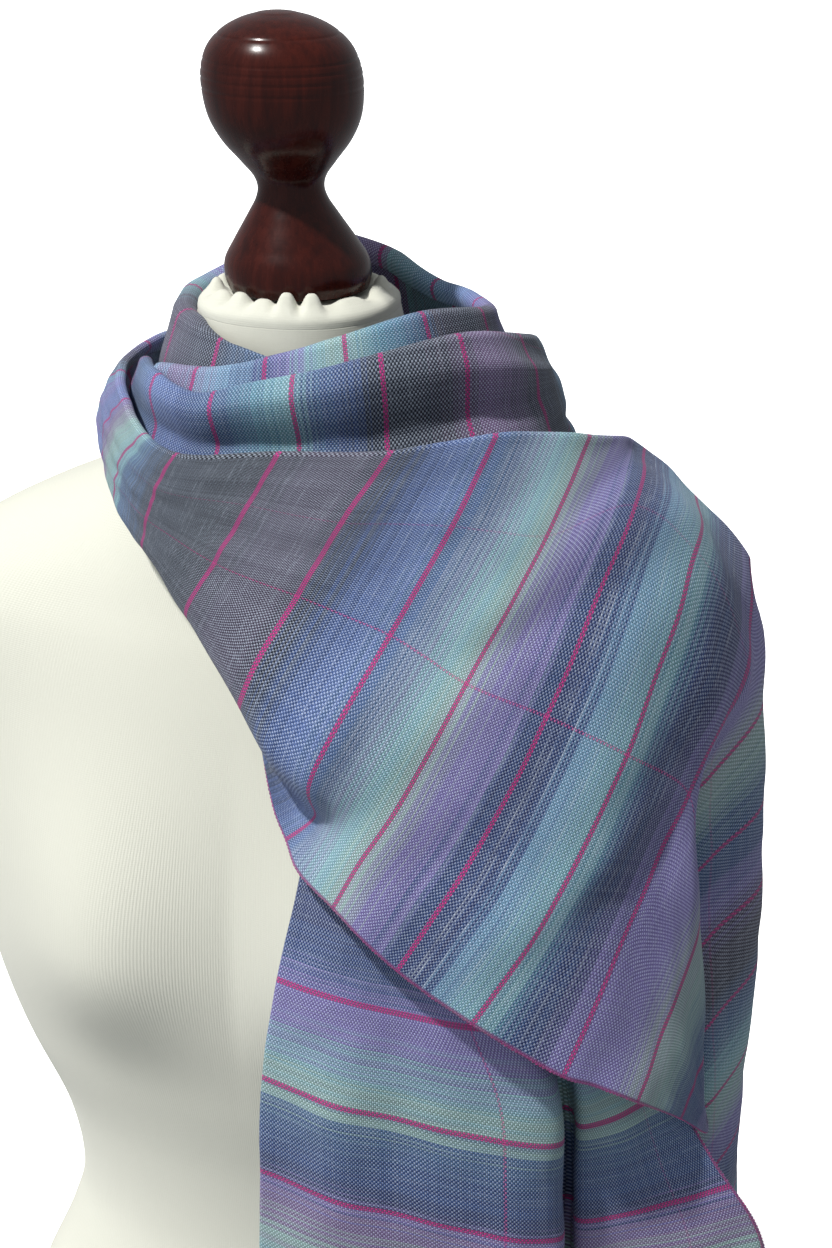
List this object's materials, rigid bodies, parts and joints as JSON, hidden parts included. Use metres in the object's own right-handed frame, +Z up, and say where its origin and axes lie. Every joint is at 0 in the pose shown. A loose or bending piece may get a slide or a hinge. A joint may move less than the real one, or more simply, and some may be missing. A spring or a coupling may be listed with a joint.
{
  "type": "merino silk scarf on a limbless dress form",
  "caption": "Hand-woven merino and silk scarf with thin pink stripes, wound round the neck and over one shoulder of a limbless jersey dress form with a turned finial.",
  "frame": {"origin": "centre of the dress form's flat base, on the surface it stands on", "axes": "+Z up, -Y the way the form faces, +X towards the form's left shoulder, where the scarf hangs"},
  "size_m": [0.4575, 0.2825, 0.8306],
  "materials": {
    "woven_cloth": "satin",
    "jersey": "matte",
    "mahogany": "gloss"
  },
  "bodies": {
    "root": {"torso": "jersey", "neck_cap": "jersey", "finial": "mahogany", "inner_turn": "woven_cloth", "neck_band": "woven_cloth", "front_panel": "woven_cloth", "shoulder_drape": "woven_cloth", "front_tail": "woven_cloth"}
  },
  "joints": []
}
